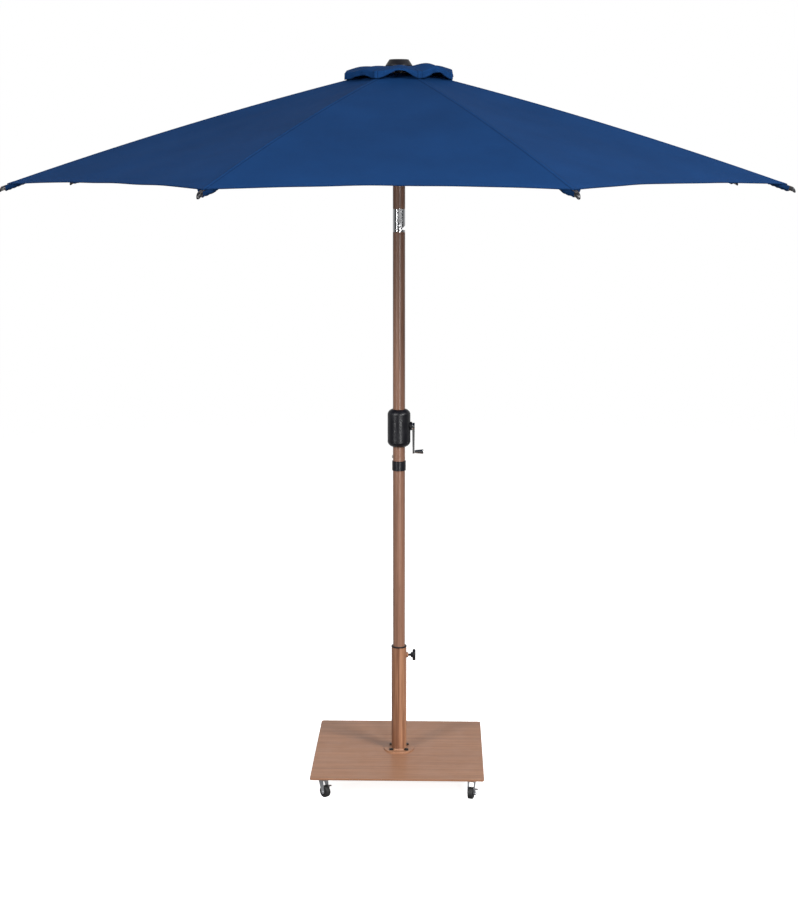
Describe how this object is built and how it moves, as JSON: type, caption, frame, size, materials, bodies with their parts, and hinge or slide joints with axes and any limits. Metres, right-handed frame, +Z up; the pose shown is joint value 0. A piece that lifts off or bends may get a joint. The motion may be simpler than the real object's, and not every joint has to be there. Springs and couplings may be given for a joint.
{
  "type": "patio umbrella with base",
  "caption": "Octagonal vented patio umbrella with crank lift and button tilt, on a wood-look pole in a square rolling base.",
  "frame": {"origin": "on the floor, under the axis of the pole", "axes": "+Z up along the pole, -Y the front that the tilt button faces, +X the side of the crank and of the clamp knob"},
  "size_m": [2.3412, 2.3412, 2.354],
  "materials": {
    "wood_grain_steel": "printed wood grain, satin",
    "wood_grain_aluminium": "printed wood grain, satin",
    "black_bolt": "black oxide",
    "black_plastic": "fine moulded texture",
    "grey_nylon": "moulded",
    "chrome": "polished",
    "zinc_steel": "zinc plated",
    "black_wheel": "matte",
    "painted_aluminium": "satin paint",
    "navy_canvas": "plain weave canopy cloth"
  },
  "bodies": {
    "stand": {"base_plate": "wood_grain_steel", "stem_flange": "wood_grain_steel", "flange_bolts": "black_bolt", "stem_tube": "wood_grain_steel", "stem_collar": "black_plastic", "caster_mounts": "zinc_steel"},
    "pole": {"lower_pole": "wood_grain_aluminium", "joint_spigot": "zinc_steel", "pole_coupling": "black_plastic", "middle_pole": "wood_grain_aluminium", "crank_case_front": "black_plastic", "crank_case_back": "black_plastic", "tilt_socket": "chrome", "tilt_pin": "chrome"},
    "mast": {"tilt_core": "chrome", "upper_pole": "wood_grain_aluminium", "top_hub": "black_plastic", "top_cap": "black_plastic", "crown_patch": "navy_canvas"},
    "knob": {"clamp_knob": "black_plastic"},
    "snap": {"snap_button": "zinc_steel"},
    "tilt_push": {"tilt_button": "chrome"},
    "crank": {"crank_spool": "grey_nylon", "crank_arm": "chrome"},
    "grip": {"crank_grip": "chrome"},
    "runner_ring": {"runner": "black_plastic"},
    "rib_arm_1": {"rib_1": "painted_aluminium", "canopy_gore_1": "navy_canvas"},
    "strut_arm_1": {"strut_1": "painted_aluminium"},
    "rib_arm_2": {"rib_2": "painted_aluminium", "canopy_gore_2": "navy_canvas"},
    "strut_arm_2": {"strut_2": "painted_aluminium"},
    "rib_arm_3": {"rib_3": "painted_aluminium", "canopy_gore_3": "navy_canvas"},
    "strut_arm_3": {"strut_3": "painted_aluminium"},
    "rib_arm_4": {"rib_4": "painted_aluminium", "canopy_gore_4": "navy_canvas"},
    "strut_arm_4": {"strut_4": "painted_aluminium"},
    "rib_arm_5": {"rib_5": "painted_aluminium", "canopy_gore_5": "navy_canvas"},
    "strut_arm_5": {"strut_5": "painted_aluminium"},
    "rib_arm_6": {"rib_6": "painted_aluminium", "canopy_gore_6": "navy_canvas"},
    "strut_arm_6": {"strut_6": "painted_aluminium"},
    "rib_arm_7": {"rib_7": "painted_aluminium", "canopy_gore_7": "navy_canvas"},
    "strut_arm_7": {"strut_7": "painted_aluminium"},
    "rib_arm_8": {"rib_8": "painted_aluminium", "canopy_gore_8": "navy_canvas"},
    "strut_arm_8": {"strut_8": "painted_aluminium"},
    "caster_1": {"caster_fork_1": "zinc_steel"},
    "wheel_1": {"caster_wheel_1": "black_wheel"},
    "brake_1": {"brake_lever_1": "zinc_steel"},
    "caster_2": {"caster_fork_2": "zinc_steel"},
    "wheel_2": {"caster_wheel_2": "black_wheel"},
    "brake_2": {"brake_lever_2": "zinc_steel"},
    "caster_3": {"caster_fork_3": "zinc_steel"},
    "wheel_3": {"caster_wheel_3": "black_wheel"},
    "caster_4": {"caster_fork_4": "zinc_steel"},
    "wheel_4": {"caster_wheel_4": "black_wheel"}
  },
  "joints": [
    {"name": "pole_lift", "type": "slide", "parent": "stand", "child": "pole", "axis": [0, 0, 1], "range_m": [0, 0.33]},
    {"name": "knob_turn", "type": "hinge", "parent": "stand", "child": "knob", "pos_m": [0.045, 0, 0.393], "axis": [1, 0, 0], "range_deg": [-1080, 0]},
    {"name": "snap_press", "type": "slide", "parent": "pole", "child": "snap", "axis": [1, 0, 0], "range_m": [0, 0.005], "stiffness_N_per_m": 800},
    {"name": "crank_turn", "type": "hinge", "parent": "pole", "child": "crank", "pos_m": [0, 0, 1.162], "axis": [1, 0, 0], "range_deg": [-1, 3602]},
    {"name": "grip_spin", "type": "hinge", "parent": "crank", "child": "grip", "pos_m": [0.067, 0, 1.077], "axis": [1, 0, 0], "continuous": true},
    {"name": "tilt", "type": "hinge", "parent": "pole", "child": "mast", "pos_m": [0, 0, 1.806], "axis": [-0.2588, 0.9659, 0], "range_deg": [0, 35]},
    {"name": "tilt_press", "type": "slide", "parent": "mast", "child": "tilt_push", "axis": [-0.2588, 0.9659, 0], "range_m": [0, 0.004], "stiffness_N_per_m": 800},
    {"name": "canopy_fold", "type": "slide", "parent": "mast", "child": "runner_ring", "axis": [0, 0, 1], "range_m": [-0.7173, 0]},
    {"name": "rib_hinge_1", "type": "hinge", "parent": "mast", "child": "rib_arm_1", "pos_m": [0.03234, 0.01339, 2.31205], "axis": [-0.3827, 0.9239, 0], "range_deg": [-0.5, 70.22], "deforming": ["canopy_gore_1"]},
    {"name": "strut_hinge_1", "type": "hinge", "parent": "rib_arm_1", "child": "strut_arm_1", "pos_m": [0.4758, 0.19708, 2.17189], "axis": [-0.3827, 0.9239, 0], "range_deg": [-140.44, 1]},
    {"name": "rib_hinge_2", "type": "hinge", "parent": "mast", "child": "rib_arm_2", "pos_m": [0.01339, 0.03234, 2.31205], "axis": [-0.9239, 0.3827, 0], "range_deg": [-0.5, 70.22], "deforming": ["canopy_gore_2"]},
    {"name": "strut_hinge_2", "type": "hinge", "parent": "rib_arm_2", "child": "strut_arm_2", "pos_m": [0.19708, 0.4758, 2.17189], "axis": [-0.9239, 0.3827, 0], "range_deg": [-140.44, 1]},
    {"name": "rib_hinge_3", "type": "hinge", "parent": "mast", "child": "rib_arm_3", "pos_m": [-0.01339, 0.03234, 2.31205], "axis": [-0.9239, -0.3827, 0], "range_deg": [-0.5, 70.22], "deforming": ["canopy_gore_3"]},
    {"name": "strut_hinge_3", "type": "hinge", "parent": "rib_arm_3", "child": "strut_arm_3", "pos_m": [-0.19708, 0.4758, 2.17189], "axis": [-0.9239, -0.3827, 0], "range_deg": [-140.44, 1]},
    {"name": "rib_hinge_4", "type": "hinge", "parent": "mast", "child": "rib_arm_4", "pos_m": [-0.03234, 0.01339, 2.31205], "axis": [-0.3827, -0.9239, 0], "range_deg": [-0.5, 70.22], "deforming": ["canopy_gore_4"]},
    {"name": "strut_hinge_4", "type": "hinge", "parent": "rib_arm_4", "child": "strut_arm_4", "pos_m": [-0.4758, 0.19708, 2.17189], "axis": [-0.3827, -0.9239, 0], "range_deg": [-140.44, 1]},
    {"name": "rib_hinge_5", "type": "hinge", "parent": "mast", "child": "rib_arm_5", "pos_m": [-0.03234, -0.01339, 2.31205], "axis": [0.3827, -0.9239, 0], "range_deg": [-0.5, 70.22], "deforming": ["canopy_gore_5"]},
    {"name": "strut_hinge_5", "type": "hinge", "parent": "rib_arm_5", "child": "strut_arm_5", "pos_m": [-0.4758, -0.19708, 2.17189], "axis": [0.3827, -0.9239, 0], "range_deg": [-140.44, 1]},
    {"name": "rib_hinge_6", "type": "hinge", "parent": "mast", "child": "rib_arm_6", "pos_m": [-0.01339, -0.03234, 2.31205], "axis": [0.9239, -0.3827, 0], "range_deg": [-0.5, 70.22], "deforming": ["canopy_gore_6"]},
    {"name": "strut_hinge_6", "type": "hinge", "parent": "rib_arm_6", "child": "strut_arm_6", "pos_m": [-0.19708, -0.4758, 2.17189], "axis": [0.9239, -0.3827, 0], "range_deg": [-140.44, 1]},
    {"name": "rib_hinge_7", "type": "hinge", "parent": "mast", "child": "rib_arm_7", "pos_m": [0.01339, -0.03234, 2.31205], "axis": [0.9239, 0.3827, 0], "range_deg": [-0.5, 70.22], "deforming": ["canopy_gore_7"]},
    {"name": "strut_hinge_7", "type": "hinge", "parent": "rib_arm_7", "child": "strut_arm_7", "pos_m": [0.19708, -0.4758, 2.17189], "axis": [0.9239, 0.3827, 0], "range_deg": [-140.44, 1]},
    {"name": "rib_hinge_8", "type": "hinge", "parent": "mast", "child": "rib_arm_8", "pos_m": [0.03234, -0.01339, 2.31205], "axis": [0.3827, 0.9239, 0], "range_deg": [-0.5, 70.22], "deforming": ["canopy_gore_8"]},
    {"name": "strut_hinge_8", "type": "hinge", "parent": "rib_arm_8", "child": "strut_arm_8", "pos_m": [0.4758, -0.19708, 2.17189], "axis": [0.3827, 0.9239, 0], "range_deg": [-140.44, 1]},
    {"name": "caster_swivel_1", "type": "hinge", "parent": "stand", "child": "caster_1", "pos_m": [-0.24, -0.24, 0.056], "axis": [0, 0, 1], "continuous": true},
    {"name": "wheel_roll_1", "type": "hinge", "parent": "caster_1", "child": "wheel_1", "pos_m": [-0.23081, -0.24919, 0.0185], "axis": [0.7071, 0.7071, 0], "continuous": true},
    {"name": "brake_press_1", "type": "hinge", "parent": "caster_1", "child": "brake_1", "pos_m": [-0.23081, -0.24919, 0.0185], "axis": [0.7071, 0.7071, 0], "range_deg": [0, 25]},
    {"name": "caster_swivel_2", "type": "hinge", "parent": "stand", "child": "caster_2", "pos_m": [0.24, -0.24, 0.056], "axis": [0, 0, 1], "continuous": true},
    {"name": "wheel_roll_2", "type": "hinge", "parent": "caster_2", "child": "wheel_2", "pos_m": [0.23664, -0.25256, 0.0185], "axis": [0.9659, -0.2588, 0], "continuous": true},
    {"name": "brake_press_2", "type": "hinge", "parent": "caster_2", "child": "brake_2", "pos_m": [0.23664, -0.25256, 0.0185], "axis": [0.9659, -0.2588, 0], "range_deg": [0, 25]},
    {"name": "caster_swivel_3", "type": "hinge", "parent": "stand", "child": "caster_3", "pos_m": [-0.24, 0.24, 0.056], "axis": [0, 0, 1], "continuous": true},
    {"name": "wheel_roll_3", "type": "hinge", "parent": "caster_3", "child": "wheel_3", "pos_m": [-0.24226, 0.2528, 0.0185], "axis": [-0.9848, -0.1736, 0], "continuous": true},
    {"name": "caster_swivel_4", "type": "hinge", "parent": "stand", "child": "caster_4", "pos_m": [0.24, 0.24, 0.056], "axis": [0, 0, 1], "continuous": true},
    {"name": "wheel_roll_4", "type": "hinge", "parent": "caster_4", "child": "wheel_4", "pos_m": [0.2465, 0.25126, 0.0185], "axis": [-0.866, 0.5, 0], "continuous": true}
  ],
  "couplings": [
    {"joint": "crank_turn", "follows": "canopy_fold", "rad_per_m": -87.595},
    {"joint": "rib_hinge_1", "follows": "canopy_fold", "rad_per_m": -1.6965},
    {"joint": "strut_hinge_1", "follows": "canopy_fold", "rad_per_m": 3.393},
    {"joint": "rib_hinge_2", "follows": "canopy_fold", "rad_per_m": -1.6965},
    {"joint": "strut_hinge_2", "follows": "canopy_fold", "rad_per_m": 3.393},
    {"joint": "rib_hinge_3", "follows": "canopy_fold", "rad_per_m": -1.6965},
    {"joint": "strut_hinge_3", "follows": "canopy_fold", "rad_per_m": 3.393},
    {"joint": "rib_hinge_4", "follows": "canopy_fold", "rad_per_m": -1.6965},
    {"joint": "strut_hinge_4", "follows": "canopy_fold", "rad_per_m": 3.393},
    {"joint": "rib_hinge_5", "follows": "canopy_fold", "rad_per_m": -1.6965},
    {"joint": "strut_hinge_5", "follows": "canopy_fold", "rad_per_m": 3.393},
    {"joint": "rib_hinge_6", "follows": "canopy_fold", "rad_per_m": -1.6965},
    {"joint": "strut_hinge_6", "follows": "canopy_fold", "rad_per_m": 3.393},
    {"joint": "rib_hinge_7", "follows": "canopy_fold", "rad_per_m": -1.6965},
    {"joint": "strut_hinge_7", "follows": "canopy_fold", "rad_per_m": 3.393},
    {"joint": "rib_hinge_8", "follows": "canopy_fold", "rad_per_m": -1.6965},
    {"joint": "strut_hinge_8", "follows": "canopy_fold", "rad_per_m": 3.393}
  ]
}
